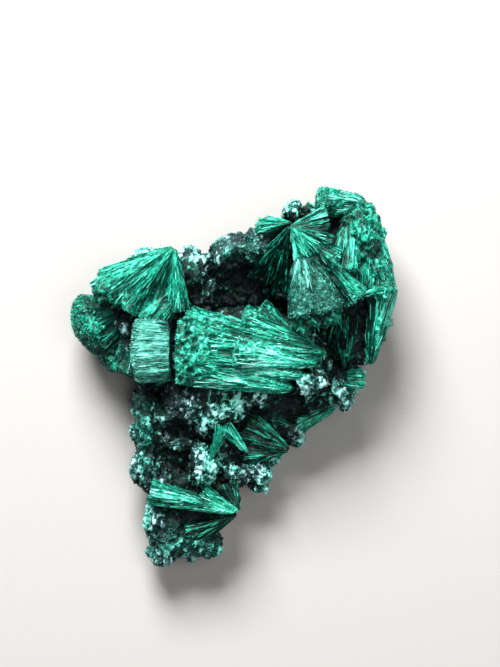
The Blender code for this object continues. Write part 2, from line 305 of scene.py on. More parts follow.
directions = sky_directions(SKY_RAYS)
SKY = KDTree(len(solid.polygons))
OPENNESS = []
for face in solid.polygons:
    SKY.insert(face.center / GRID, face.index)
    OPENNESS.append(sky_seen(face.center / GRID, face.normal, directions))
SKY.balance()
print("mean openness of the solid:", round(sum(OPENNESS) / len(OPENNESS), 2))


def surroundings(points):
    """How open each point is, and how deep it lies under the solid's skin."""
    openness = []
    depth = []
    for point in map(Vector, points.tolist()):
        near = SKY.find_n(point, SHARED_FACES)
        openness.append(sum(OPENNESS[index] for _, index, _ in near) / len(near))
        place, normal, _, _ = SOLID.find_nearest(point)
        depth.append((place - point).dot(normal))
    return np.array(openness), np.array(depth)


# %% [markdown]
# Two kinds of noise shape everything. Smooth noise makes swells and grooves. Cell noise parts the
# surface into cells with cracks between them: stretched along the fibres, the cells are splinters
# that broke off at different heights, and unstretched they are tufts of fibre tips.

# %% Noise on tables of places
def noise_at(places):
    """Smooth noise, from -1 to 1, at each row of places."""
    return np.array([noise.noise(place) for place in places.tolist()])


def cells_at(places):
    """How far each row is from its cell's border, and a random share that its whole cell has."""
    border = []
    chance = []
    for place in places.tolist():
        distances, centres = noise.voronoi(place)
        border.append(distances[1] - distances[0])
        chance.append(noise.cell(centres[0] * 97.0))
    return np.array(border), np.array(chance)


# %% [markdown]
# Overlapping balls are easy to lay out, but their walls would stay inside each other. So the balls of
# one region are gathered into a single skin by a remesh that is fine enough for the relief. A skin
# keeps what the splinters on it will need, point by point.

# %% One skin round many balls
def gathered(name, meshes, step):
    """One skin round all the meshes."""
    bm = bmesh.new()
    for mesh in meshes:
        bm.from_mesh(mesh)
    source = add_object(name, mesh_of(bm, name))
    remesh = source.modifiers.new("Gather", "REMESH")
    remesh.mode = "VOXEL"
    remesh.voxel_size = step
    return applied(source)


class Skin(NamedTuple):
    """The surface of one region, with what the splinters and crystals on it need to know."""

    points: np.ndarray
    normals: np.ndarray
    flow: np.ndarray
    room: np.ndarray
    opened: np.ndarray
    velvet: np.ndarray
    tone: np.ndarray
    open: np.ndarray
    depth: np.ndarray


# %% [markdown]
# A spray could be carved from a block, but fibres run from one point, so a ball suits it better: one
# pole becomes the apex, most of the ball is drawn out into the sides, and the rest closes over as the
# domed end where the tips meet. Read the other way round, the same form tells where a point lies
# across the fibres and along them, and which way they run there.

# %% The form of a spray
ROUND_SEGMENTS = 64
LONG_SEGMENTS = 48
SIDES_SHARE = 0.72
BUNDLES_ROUND = 2.2
BUNDLE_HEIGHT = 0.18
SEED_STEP = 7.3
STRETCH = 0.12
VELVET_FADE = 1.2
TURNS = np.linspace(-math.pi, math.pi, 361)


def axes_of(spray):
    """The spray's own axes as rows: across its face, out of its face, and along its fibres."""
    along = (Vector(spray.tips) - Vector(spray.apex)).normalized()
    out = (Vector((0, 0, 1)) - along * along.z).normalized()
    out.rotate(Matrix.Rotation(math.radians(spray.roll), 3, along))
    return np.array([out.cross(along), out, along])


def rounded(share, corner):
    """A cosine or sine pushed towards a square corner, or towards a crest where corner is under 2."""
    return np.copysign(np.abs(share) ** (2 / corner), share)


class Form:
    """The surface of one spray, as a function of the way along it and the turn round it."""

    def __init__(self, spray, number):
        self.spray = spray
        self.number = number
        self.axes = axes_of(spray)
        self.apex = np.array(spray.apex)
        self.length = (Vector(spray.tips) - Vector(spray.apex)).length
        ring = np.stack([np.cos(TURNS), np.sin(TURNS)], 1) * BUNDLES_ROUND
        places = np.column_stack([ring, np.full(len(TURNS), number * SEED_STEP)])
        self.swell = noise_at(places)

    def opened(self, along):
        return self.spray.root + (1 - self.spray.root) * along**self.spray.flare

    def ball(self):
        """A ball drawn out into the spray."""
        spray = self.spray
        bm = bmesh.new()
        bmesh.ops.create_uvsphere(bm, u_segments=ROUND_SEGMENTS, v_segments=LONG_SEGMENTS, radius=1.0)
        mesh = mesh_of(bm, "ball")
        unit = rows(mesh.vertices, "co")
        from_apex = np.arccos(np.clip(-unit[:, 2], -1, 1)) / math.pi
        turn = np.arctan2(unit[:, 1], unit[:, 0])
        along = np.minimum(from_apex / SIDES_SHARE, 1.0)
        past = np.maximum(from_apex - SIDES_SHARE, 0) / (1 - SIDES_SHARE) * math.pi / 2
        swell = 1 + BUNDLE_HEIGHT * np.interp(turn, TURNS, self.swell)
        opened = self.opened(along) * np.cos(past) * swell
        opened[from_apex < 1e-4] = 0.0
        across = opened * spray.width / 2 * rounded(np.cos(turn), spray.corner)
        out = opened * spray.thick / 2 * rounded(np.sin(turn), spray.corner)
        ahead = self.length * along + spray.width * spray.dome * np.sin(past)
        points = self.apex + np.stack([across, out, ahead], 1) @ self.axes
        mesh.vertices.foreach_set("co", points.astype(np.float32).ravel())
        return mesh

    def place_of(self, points):
        """Where points lie: their shares across and out, and their way along from apex to tips."""
        local = (points - self.apex) @ self.axes.T
        along = local[:, 2] / self.length
        opened = self.opened(np.clip(along, 0.01, 1.0))
        across = local[:, 0] / (opened * self.spray.width / 2)
        out = local[:, 1] / (opened * self.spray.thick / 2)
        return across, out, along, opened

    def reach(self, points):
        """About 1 on the spray's surface, and more outside it."""
        across, out, along, _ = self.place_of(points)
        corner = self.spray.corner
        ring = (np.abs(across) ** corner + np.abs(out) ** corner) ** (1 / corner)
        beyond = np.maximum(along - 1, 0) * self.length / (self.spray.width * self.spray.dome)
        behind = np.maximum(-along, 0) * self.length
        return np.hypot(ring, beyond + behind)

    def fibres(self, points, velvet_from):
        """For each point: fibre place, way the fibre runs, fibre length left, opening, and velvet."""
        spray = self.spray
        across, out, along, opened = self.place_of(points)
        held = np.clip(along, 0.02, 1.0)
        widening = (1 - spray.root) * spray.flare * held ** (spray.flare - 1)
        way = [across * spray.width / 2 * widening, out * spray.thick / 2 * widening]
        flow = unit_rows(np.stack([*way, np.full(len(points), self.length)], 1)) @ self.axes
        past_edge = np.maximum(along - velvet_from, 0) * self.length
        depth = along * self.length * STRETCH + past_edge + self.number * SEED_STEP
        fibre = np.stack([across * spray.width / 2, out * spray.thick / 2, depth], 1)
        velvet = np.clip((along - velvet_from) * self.length / VELVET_FADE, 0, 1)
        return fibre, flow, (1 - along) * self.length, opened, velvet


# %% [markdown]
# Light and dark places make each spray its own. Some are the stone's own marks, such as pits and
# cracks in the velvet, and some are painted light: a painted shadow in the gap beside the tongue,
# painted shade in the tongue's valley, and painted highlights on pale crests and on the right lobe.
# Painting them on an image would do, but the finish has no images, so each is a round patch with a
# soft edge, placed one by one. On a spray, a dark patch sinks a little too. A row holds a patch's x
# and y, its radius, and how much paler it is, or darker with a minus.

# %% Light and dark places
TONE_AND_PAINTED_LIGHT = {
    "left_lobe": [
        (-14.9, 3.0, 1.6, -0.4), (-13.0, 2.6, 0.9, -0.3), (-13.6, 5.4, 1.3, 0.25),
        (-12.3, 7.0, 0.7, -0.7), (-11.4, 5.6, 0.8, -0.8), (-10.8, 3.6, 1.0, -0.5),
        (-14.6, 8.8, 1.3, -0.2), (-11.6, 0.6, 1.4, -0.35),
    ],
    "left_fan": [
        (-7.3, 9.2, 0.6, -0.6), (-6.7, 7.6, 0.5, -0.5), (-9.4, 7.6, 0.6, -0.4),
        (-8.6, 10.2, 0.8, 0.15), (-9.6, 6.4, 1.0, 0.15), (-5.4, 9.0, 0.5, -0.2),
    ],
    "column": [
        (-9.3, 0.4, 0.8, -0.35), (-6.2, 5.6, 0.6, -0.3),
    ],
    "barrel": [
        (-1.7, 4.0, 0.3, -0.9), (-3.6, 3.7, 0.25, -0.7), (-3.7, 2.8, 0.25, -0.8),
        (-1.0, 0.9, 0.3, -0.8), (-2.0, 2.2, 0.3, -0.7), (-4.1, 0.6, 0.35, -0.9),
        (-2.9, 1.1, 0.3, -0.7), (-3.7, -0.2, 0.3, -0.8), (-2.3, -0.2, 0.3, -0.8),
        (-4.7, 4.9, 0.22, -0.9), (-4.4, 4.4, 0.22, -0.8), (-4.9, 3.3, 0.22, -0.8),
        (-4.6, 2.8, 0.22, -0.9), (-4.9, 2.2, 0.22, -0.8), (-4.6, 1.5, 0.25, -0.9),
        (-3.3, 0.2, 0.3, -0.8), (-2.0, 3.4, 0.25, -0.8), (-1.4, 1.5, 0.3, -0.8),
        (-0.4, 0.4, 0.3, -0.7), (2.6, 3.4, 1.6, 0.15), (3.4, 0.6, 1.6, 0.2), (6.4, 4.6, 1.0, -0.2),
    ],
    # The first five rows paint the shadow in the gap beside the tongue.
    "star": [
        (8.2, 12.2, 0.45, -0.9), (8.9, 11.2, 0.5, -0.9), (9.8, 10.1, 0.5, -0.9),
        (10.6, 8.8, 0.5, -0.9), (10.9, 7.3, 0.6, -0.6), (10.4, 11.3, 0.5, 0.25),
        (8.9, 13.0, 0.8, -0.5), (10.4, 15.4, 0.9, -0.5), (9.5, 14.6, 0.7, -0.4),
        (7.4, 13.4, 0.8, 0.2), (3.0, 14.4, 0.7, -0.3),
    ],
    # Painted highlights on its crests, painted shade in its valley and by its top, and pits at its
    # foot.
    "tongue": [
        (6.9, 11.0, 0.6, 0.15), (7.0, 9.4, 0.6, 0.1), (8.4, 11.4, 0.5, -1.0), (8.0, 9.8, 0.3, -0.6),
        (8.1, 9.0, 0.35, -0.7), (8.4, 8.2, 0.4, -0.7), (8.4, 7.4, 0.4, -0.5), (9.8, 8.8, 0.7, 0.2),
        (6.8, 5.6, 0.5, -0.9), (8.0, 6.0, 0.4, -0.9), (9.3, 5.7, 0.5, -0.9), (7.4, 6.9, 0.3, -0.6),
    ],
    "cap": [
        (9.6, 15.9, 0.8, -0.5),
    ],
    "cheek_dome": [
        (10.3, 16.4, 0.6, -0.9), (10.6, 15.2, 0.5, -0.9), (11.3, 13.2, 0.6, -0.5),
        (14.3, 12.9, 0.6, -1.0), (12.6, 11.0, 0.6, -0.5), (12.2, 14.4, 0.9, 0.25),
        (14.6, 15.2, 0.7, 0.25), (7.4, 5.6, 0.5, -0.7), (9.0, 5.9, 0.5, -0.7),
    ],
    "cheek": [
        (11.4, 9.4, 0.9, -0.4), (12.4, 8.4, 1.2, -0.5), (13.6, 12.6, 0.7, -0.4),
        (11.6, 12.6, 0.8, 0.15),
    ],
    # The first three rows paint a highlight on the lobe's inner streak.
    "right_lobe": [
        (14.7, 5.8, 0.45, 0.55), (14.5, 4.8, 0.4, 0.5), (14.4, 3.9, 0.4, 0.5),
        (13.5, 5.2, 0.5, -0.6), (15.3, 4.6, 0.35, -0.6), (15.4, 6.0, 0.3, -0.5),
        (15.9, 6.6, 0.4, 0.45), (15.8, 5.6, 0.4, 0.4), (14.2, 2.0, 0.6, -0.3),
    ],
    "foot_fan": [
        (-2.6, -12.7, 0.5, -0.4), (-7.6, -12.4, 0.6, -0.25),
    ],
}


def patched(points, patches):
    """What a table of patches adds at each point."""
    total = np.zeros(len(points))
    for x, y, radius, amount in patches:
        away = np.hypot(points[:, 0] - x, points[:, 1] - y) / radius
        total += amount * np.exp(-(away**2))
    return total


# %% [markdown]
# The sides of a spray show fibres lying along it, and its end shows their tips, which is the velvet.
# How far back the tips reach differs from spray to spray, so a table holds it. The sides are bundles
# that stand at different heights, with finer ledges of broken splinters on them, and cracks between
# both. The velvet is crumbs and tufts of tips, with small pits. All of it fades towards the apex.

# %% Sides and tips of the sprays
BUNDLES_ACROSS = 0.9
BUNDLE_STEP = 0.16
SPLIT_WIDTH = 0.07
CELLS_ACROSS = 3.6
LEDGE_HEIGHT = 0.13
CRACKED_FROM = 0.4
CRACK_DEPTH = 0.18
CRACK_WIDTH = 0.16
GROOVES_ACROSS = 5.5
GROOVE_HEIGHT = 0.1
TUFT_HEIGHT = 0.07
CRUMBS_PER_STEP = 3.0


def sides_at(fibre):
    """Relief and tone of a spray's sides."""
    bundle_border, bundle_chance = cells_at(fibre * BUNDLES_ACROSS)
    split = np.clip(1 - bundle_border / SPLIT_WIDTH, 0, 1)
    border, chance = cells_at(fibre * CELLS_ACROSS)
    crack = np.clip(1 - border / CRACK_WIDTH, 0, 1) * (chance > CRACKED_FROM)
    grooves = noise_at(fibre * GROOVES_ACROSS)
    relief = LEDGE_HEIGHT * (chance - 0.5) + GROOVE_HEIGHT * grooves - CRACK_DEPTH * crack
    relief = relief + BUNDLE_STEP * (bundle_chance - 0.5) - CRACK_DEPTH * split
    # Tone follows relief: cracks, splits and grooves are painted shade; raised ledges, painted
    # highlight.
    tone = 0.45 * (chance - 0.5) + 0.35 * grooves - 0.3 * crack
    return relief, tone + 0.15 * (bundle_chance - 0.5) - 0.25 * split


def tips_at(points):
    """Relief and tone of the velvet at a spray's end."""
    tufts = noise_at(points * 2.3) + noise_at(points * 5.7)
    border, chance = cells_at(points * CRUMBS_PER_STEP)
    crumbs = 0.5 * (chance - 0.5) - 0.4 * np.clip(1 - border / CRACK_WIDTH, 0, 1)
    # Tone follows relief: darker cracks between crumbs, paler high crumbs: painted shade and highlight.
    return TUFT_HEIGHT * (tufts + crumbs), 0.1 * tufts + 0.8 * crumbs


# %% [markdown]
# On the real stone the sprays of one region have grown into each other, so they share a skin. Each
# point of it asks the spray that it lies on about the fibres there, is moved in or out, and is given
# its tone. PALER and CONTRAST make each region as light and as broken up as the real one.

# %% Skins of the sprays
SPRAY_STEP = 0.115
PITS_PER_STEP = 1.7
PITS_FROM = 0.33
PIT_DEPTH = 0.9
PIT_SHARE = 0.45
MID_TONE = 0.62
PALER = {"barrel": 0.05, "tongue": -0.32, "left_lobe": -0.12, "right_lobe": 0.14, "column": -0.06}
CONTRAST = {
    "column": 0.35, "tongue": 0.8, "barrel": 0.95, "left_fan": 1.05, "cheek": 1.2, "star": 1.3,
    "cap": 1.2, "left_lobe": 1.4, "side_shade": 1.4, "right_lobe": 1.5,
}
VELVET_FROM = {
    "barrel": 0.72, "column": 0.98, "left_fan": 0.8, "left_lobe": 0.85, "star": 0.9,
    "star_shade": 0.95, "tongue": 0.3, "cap": 0.5, "cheek": 0.5, "right_lobe": 0.85,
    "side_shade": 0.95, "pale_blades": 1.0, "foot_fan": 0.9, "foot_shade": 0.95, "back_sprays": 0.7,
}


def make_spray_skin(name, forms):
    mesh = gathered(name, [form.ball() for form in forms], SPRAY_STEP)
    points = rows(mesh.vertices, "co")
    normals = rows(mesh.vertex_normals, "vector")
    owner = np.stack([form.reach(points) for form in forms]).argmin(axis=0)
    fibre = np.empty_like(points)
    flow = np.empty_like(points)
    room, opened, velvet = np.empty((3, len(points)))
    for index, form in enumerate(forms):
        mine = owner == index
        read = form.fibres(points[mine], VELVET_FROM[name])
        fibre[mine], flow[mine], room[mine], opened[mine], velvet[mine] = read
    rough = CONTRAST.get(name, 1.0)
    # The patches add the stone's own marks and painted light: painted shadow, shade and highlights.
    tone_and_painted_light = patched(points, TONE_AND_PAINTED_LIGHT.get(name, []))
    pits = np.clip(noise_at(points * PITS_PER_STEP + 12.0) - PITS_FROM, 0, 1) * velvet
    side_relief, side_tone = sides_at(fibre)
    tip_relief, tip_tone = tips_at(points)
    relief = rough * side_relief * (1 - 0.8 * velvet) + tip_relief * velvet
    relief = relief - PIT_DEPTH * pits + PIT_SHARE * tone_and_painted_light
    points = points + normals * (relief * np.clip(opened * 1.1, 0.1, 1))[:, None]
    openness, depth = surroundings(points)
    # Pits are sunk and also darkened, which paints shade into them.
    tone = rough * side_tone * (1 - 0.6 * velvet) + tip_tone * velvet - 2.0 * pits
    tone = MID_TONE + PALER.get(name, 0.0) + tone_and_painted_light + tone
    keep_values(mesh, fibre=fibre, tone=np.clip(tone, 0, 1), open=openness)
    finish_piece(name, mesh, points)
    return Skin(points, normals, flow, room, opened, velvet, tone, openness, depth)


SKINS = {}
number = 0
for region, sprays in SPRAYS.items():
    forms = [Form(spray, number + index) for index, spray in enumerate(sprays)]
    number += len(sprays)
    SKINS[region] = make_spray_skin(region, forms)

# %% [markdown]
# The matrix is the dark, broken rock that the sprays grew on. Sculpting by hand would give it blocks
# and cracks, but here each lump is a ball pushed in and out by cell noise, whose borders make cracks.
# Overlapping balls are gathered into one skin, and finer noise roughens that. Frost, a crust of tiny
# pale crystals, comes in patches: a table says where it is thick or missing, and noise frays it.

# %% Skins of the matrix
MATRIX_STEP = 0.15
BLOCKS_PER_STEP = 0.46
BLOCK_HEIGHT = 0.95
KNOB_HEIGHT = 0.3
GRIT_HEIGHT = 0.13
STONES_PER_STEP = 1.2
STONE_HEIGHT = 0.24
GRAINS_PER_STEP = 3.4
GRAIN_HEIGHT = 0.1
GAP_WIDTH = 0.2
GAP_DEPTH = 0.6
FROST_SHARE = 0.6
UPRIGHT = (1.0, 0.6, 1.0)
DOWN = (0.0, -1.0, 0.0)
FROST = [
    (-2.9, -9.2, 2.0, 1.0), (0.4, -9.9, 1.2, 0.9), (2.5, -10.6, 0.9, 0.7), (2.9, -9.3, 0.7, 0.6),
    (-0.3, -2.6, 2.2, 0.75), (2.4, -1.9, 1.6, 0.6), (-4.5, -1.1, 0.4, 1.8), (-4.4, -2.0, 0.4, 1.8),
    (-4.3, -3.0, 0.4, 1.8), (-4.1, -4.2, 0.5, 1.8), (-3.9, -5.2, 0.5, 1.6), (-3.6, -6.1, 0.9, 0.9),
    (-3.5, -7.3, 0.7, 0.7), (-7.5, -0.6, 0.8, 1.0), (-7.0, -4.2, 0.6, 1.6), (-6.9, -5.6, 0.5, 1.6),
    (-6.0, -6.6, 0.6, 1.8), (-7.2, -8.2, 0.6, 1.4), (-9.3, -5.2, 0.9, 0.1), (-7.9, -14.4, 1.0, 1.0),
    (-8.0, -16.2, 0.8, 0.7), (6.0, -5.4, 1.0, 0.8), (7.9, -0.4, 1.5, 1.0), (11.1, -1.7, 1.1, 0.7),
    (-3.6, 12.1, 0.9, 0.7), (1.6, 13.6, 2.0, -0.7), (2.0, 12.2, 0.6, 0.6), (-9.5, 11.6, 1.6, 0.4),
    (-4.4, 11.2, 1.0, -0.5), (-0.6, 13.2, 1.6, -0.4), (-8.9, -2.8, 1.3, -1.1),
    (-9.0, -4.8, 1.2, -1.3), (-8.8, -7.0, 1.1, -0.8), (6.6, 16.8, 1.2, 0.6), (-2.4, -5.6, 0.9, 1.2),
    (-1.6, -7.4, 1.0, 1.2), (-5.4, -10.7, 1.3, -1.6), (-5.4, -5.3, 0.9, -2.6),
    (-5.3, -8.4, 1.2, -2.4), (1.6, 10.0, 3.6, -1.0), (4.2, -3.4, 2.2, -1.2), (12.6, 5.0, 2.4, -1.0),
    (-4.9, -15.2, 2.2, -1.4), (-2.0, -17.0, 2.0, -0.8), (-8.3, -8.0, 1.6, -0.5),
]


def frost_at(points):
    """How much frost there is, from 0 to 1."""
    frost = 0.54 + 0.5 * noise_at(points * 0.3 + 4.0) + 0.4 * noise_at(points * 0.9)
    return np.clip(frost + FROST_SHARE * patched(points, FROST), 0, 0.95)


def crag(place):
    """How far the matrix stands out at a place: blocks with cracks between them, and knobs on top."""
    nearest = noise.voronoi(place * BLOCKS_PER_STEP)[0]
    block = min(nearest[1] - nearest[0], 0.5) - 0.3
    return BLOCK_HEIGHT * block + KNOB_HEIGHT * noise.fractal(place, 1.0, 2.0, 2)


def lump_ball(lump):
    """A ball with a craggy skin."""
    bm = bmesh.new()
    fineness = 5 if max(lump.radii) > 4 else 4
    bmesh.ops.create_icosphere(bm, subdivisions=fineness, radius=1.0)
    turn = Matrix.Rotation(math.radians(lump.turn), 3, "Z")
    for vert in bm.verts:
        reach = turn @ Vector([a * b for a, b in zip(vert.co, lump.radii)])
        place = Vector(lump.centre) + reach
        vert.co = place + reach.normalized() * crag(place)
    return mesh_of(bm, "lump")


def stones_at(points):
    """Chances of the stones and grains, gaps between the stones, and grit."""
    border, stones = cells_at(points * STONES_PER_STEP * UPRIGHT)
    _, grains = cells_at(points * GRAINS_PER_STEP * UPRIGHT)
    gaps = np.clip(1 - border / GAP_WIDTH, 0, 1)
    grit = noise_at(points * 2.3 + 9.0) + 0.7 * noise_at(points * 4.9 + 31.0)
    return stones, grains, gaps, grit


def make_matrix_skin(name, lumps):
    mesh = gathered(name, [lump_ball(lump) for lump in lumps], MATRIX_STEP)
    points = rows(mesh.vertices, "co")
    normals = rows(mesh.vertex_normals, "vector")
    frost = frost_at(points)
    stones, grains, gaps, grit = stones_at(points)
    relief = STONE_HEIGHT * (stones - GAP_DEPTH * gaps) + GRAIN_HEIGHT * (grains - 0.5)
    points = points + normals * (relief + GRIT_HEIGHT * grit)[:, None]
    # Frost follows relief: thicker on raised stones, grains and grit, thin in gaps: painted shade
    # there.
    frost = frost + 0.3 * (stones - 0.5) + 0.75 * (grains - 0.5) + 0.3 * grit - 0.45 * gaps
    frost = np.clip(frost, 0, 1)
    openness, depth = surroundings(points)
    # The patches darken and pale places of the cheek dome, as on the sprays.
    tone_and_painted_light = patched(points, TONE_AND_PAINTED_LIGHT.get(name, []))
    # The tone too is darker in the gaps, painted shade, and paler on raised grit.
    tone = np.clip(0.5 + tone_and_painted_light + 0.4 * (grains - 0.5) + 0.4 * grit - 0.4 * gaps, 0, 1)
    fibre = np.stack([points[:, 0], points[:, 2], points[:, 1] * 0.3], 1)
    keep_values(mesh, frost=frost, tone=tone, open=openness, fibre=fibre)
    finish_piece(name, mesh, points)
    flow = np.tile(DOWN, (len(points), 1))
    plain = np.ones(len(points))
    crust = np.clip(frost + tone_and_painted_light, 0, 1)
    return Skin(points, normals, flow, plain * 9, plain, plain, crust, openness, depth)


for region, lumps in LUMPS.items():
    SKINS[region] = make_matrix_skin(region, lumps)

# %% [markdown]
# What makes the stone look like velvet is thousands of splinters, each a tenth of a millimetre wide or
# less. Modelling each by hand is out of the question, so one splinter is made and repeated, and every
# copy is laid out by moving its points. The crystals of the matrix are made the same way, but stubby.

# %% One splinter, repeated
class Cut(NamedTuple):
    """The sides of a splinter, and its girth at stations along it."""

    sides: int
    stations: tuple
    girths: tuple


FIBRE = Cut(3, (0.0, 0.35, 0.85, 1.0), (0.45, 1.0, 0.9, 0.0))
CRYSTAL = Cut(3, (0.0, 0.7, 1.0), (0.9, 1.0, 0.0))


class Strands(NamedTuple):
    """Where a set of splinters lies: roots and tips, the way their faces look, sizes and tones."""

    root: np.ndarray
    tip: np.ndarray
    out: np.ndarray
    half: np.ndarray
    blunt: np.ndarray
    tone: np.ndarray
    rise: np.ndarray
    open: np.ndarray


def splinter_copies(name, cut, count):
    """A mesh of equal splinters, made with an array, and the points of one of them."""
    bm = bmesh.new()
    bm.loops.layers.uv.new("OFBake")
    bmesh.ops.create_cone(
        bm, cap_ends=True, segments=cut.sides, radius1=1.0, radius2=1.0, depth=1.0, calc_uvs=True,
        matrix=Matrix.Translation((0, 0, 0.5)),
    )
    for station in cut.stations[1:-1]:
        everything = bm.verts[:] + bm.edges[:] + bm.faces[:]
        bmesh.ops.bisect_plane(bm, geom=everything, plane_co=(0, 0, station), plane_no=(0, 0, 1))
    mesh = mesh_of(bm, name)
    source = add_object(name, mesh)
    array = source.modifiers.new("Array", "ARRAY")
    array.count = count
    array.use_merge_vertices = False
    return applied(source), rows(mesh.vertices, "co")


def spread_map(mesh, count):
    """Gives each splinter its own tile of the map."""
    tiles = math.ceil(math.sqrt(count))
    flat = rows(mesh.uv_layers["OFBake"].uv, "vector", 2).reshape(count, -1, 2)
    index = np.arange(count)
    corner = np.stack([index % tiles, index // tiles], 1)[:, None, :]
    flat = (flat * 0.88 + 0.06 + corner) / tiles
    mesh.uv_layers["OFBake"].uv.foreach_set("vector", flat.astype(np.float32).ravel())


def lay_splinters(name, cut, strands, rng):
    count = len(strands.root)
    mesh, shape = splinter_copies(name, cut, count)
    along = shape[:, 2]
    girth = np.interp(along, cut.stations, cut.girths)[None, :]
    girth = girth + (along > 0.99)[None, :] * strands.blunt[:, None]
    way = strands.tip - strands.root
    side = unit_rows(np.cross(way, strands.out))
    out = unit_rows(np.cross(side, way))
    twist = rng.uniform(0, 2 * math.pi, count)[:, None]
    x = (shape[None, :, 0] * np.cos(twist) - shape[None, :, 1] * np.sin(twist)) * girth
    y = (shape[None, :, 0] * np.sin(twist) + shape[None, :, 1] * np.cos(twist)) * girth
    half = strands.half[:, None]
    slant = rng.uniform(-1.5, 1.5, count)[:, None] * (along > 0.9)[None, :]
    slip = unit_rows(way)[:, None, :] * (slant * x * half)[..., None]
    travel = along[None, :, None] * way[:, None, :] + slip
    points = strands.root[:, None, :] + travel
    points = points + side[:, None, :] * (x * half)[..., None] + out[:, None, :] * (y * half)[..., None]
    lengths = np.linalg.norm(way, axis=1)[:, None]
    local = np.stack([x * half, y * half, along[None, :] * lengths * STRETCH], -1)
    fibre = (local + rng.uniform(0, 50, (count, 1, 3))).reshape(-1, 3)
    # Darker root, paler tip: painted shade where a splinter meets the skin, painted highlight on its
    # tip.
    tone = strands.tone[:, None] + strands.rise[:, None] * (along - 0.6)[None, :]
    openness = np.repeat(strands.open, len(shape))
    keep_values(mesh, fibre=fibre, tone=np.clip(tone, 0, 1).ravel(), open=openness)
    spread_map(mesh, count)
    finish_piece(name, mesh, points.reshape(-1, 3), smooth=False)


# %% [markdown]
# Splinters lie along the sides of a spray, and short ones stand up where its tips come out. They are
# dealt out evenly over the part of each skin that shows, thinner on the back, and each takes the tone
# of the ledge it lies on, so that whole bundles are light or dark.

# %% Splinters on the sprays
FIBRES_PER_AREA = 19.0
VELVET_PER_AREA = 34.0
MOST_FIBRES = 9000
HIDDEN_DEPTH = 0.3
BACK_SHARE = 0.3
FOOT_CLEARANCE = 0.5
TONE_SPREAD = 0.28
TONE_SHARE = 0.75
STRAY = 0.05
SHORTEST_LYING = 0.25
LYING_LENGTH = 0.36
LYING_HALVES = (0.025, 0.058)
VELVET_HALVES = (0.02, 0.038)
VELVET_LENGTHS = (0.1, 0.26)
VELVET_DEPTH = 0.08
VELVET_LEAN = 0.35


def showing(skin):
    """A weight for each point of a skin: none where it is buried, and less where it faces down."""
    shows = (skin.depth < HIDDEN_DEPTH) & (skin.points[:, 2] > FOOT_CLEARANCE)
    return shows * np.where(skin.normals[:, 2] > -0.2, 1.0, BACK_SHARE)


def deal(weight, rng, most):
    """Picks points of a skin, about as many as its weights add up to."""
    count = min(int(weight.sum()), most, np.count_nonzero(weight))
    return rng.choice(len(weight), count, replace=False, p=weight / weight.sum())


def fibre_sizes(skin, chosen, velvet, rng):
    """Half widths and lengths: less in tight places, and no longer than the fibre has left to run."""
    shape = (len(chosen), 1)
    opened = skin.opened[chosen][:, None]
    half = np.where(velvet, rng.uniform(*VELVET_HALVES, shape), rng.uniform(*LYING_HALVES, shape))
    half = half * (0.45 + 0.55 * opened)
    lying = rng.gamma(2.0, LYING_LENGTH, shape) * (0.4 + 0.6 * opened) + SHORTEST_LYING
    room = np.maximum(skin.room[chosen][:, None], 0.15)
    lying = np.minimum(lying, room + SHORTEST_LYING)
    return half, np.where(velvet, rng.uniform(*VELVET_LENGTHS, shape), lying)


def fibres_on(skin, rng, spread):
    """Splinters that lie along the sides of a spray, and shorter ones that stand in its velvet."""
    per_point = SPRAY_STEP**2 * (FIBRES_PER_AREA + (VELVET_PER_AREA - FIBRES_PER_AREA) * skin.velvet)
    chosen = deal(showing(skin) * per_point, rng, MOST_FIBRES)
    count = len(chosen)
    normals = skin.normals[chosen]
    flow = skin.flow[chosen]
    velvet = skin.velvet[chosen][:, None] > rng.uniform(0.2, 0.8, (count, 1))
    half, length = fibre_sizes(skin, chosen, velvet, rng)
    lift = rng.uniform(-0.8, 1.2, (count, 1)) * half
    standing = unit_rows(flow + normals * VELVET_LEAN + rng.normal(0, VELVET_LEAN, (count, 3)))
    strayed = unit_rows(flow + rng.normal(0, STRAY, (count, 3)))
    root = skin.points[chosen] - normals * np.where(velvet, VELVET_DEPTH, half * 0.7)
    way = np.where(velvet, standing * length, strayed * length + normals * (lift + half * 0.7))
    tone = skin.tone[chosen] * TONE_SHARE + rng.normal(0.15, spread, count)
    rise = np.where(velvet[:, 0], 0.5, 0.15)
    blunt = rng.uniform(0.1, 0.7, count)
    return Strands(root, root + way, normals, half[:, 0], blunt, tone, rise, skin.open[chosen])


for seed, region in enumerate(SPRAYS):
    rng = np.random.default_rng(seed)
    fibres = fibres_on(SKINS[region], rng, TONE_SPREAD * CONTRAST.get(region, 1.0))
    lay_splinters(region + "_fibres", FIBRE, fibres, rng)

# %% [markdown]
# The matrix glitters because small crystals grow on it, thickest where the frost is. On the upper
# right of the stone they are longer and all lean one way, down its face.

# %% Crystals on the matrix
CRYSTALS_PER_AREA = 22.0
MOST_CRYSTALS = 6000
SHORTEST_CRYSTAL = 0.06
CRYSTAL_LENGTH = 0.04
CRYSTAL_HALVES = (0.015, 0.042)
CRYSTAL_DEPTH = 0.06
LEAN = {"cheek_dome": 1.6}


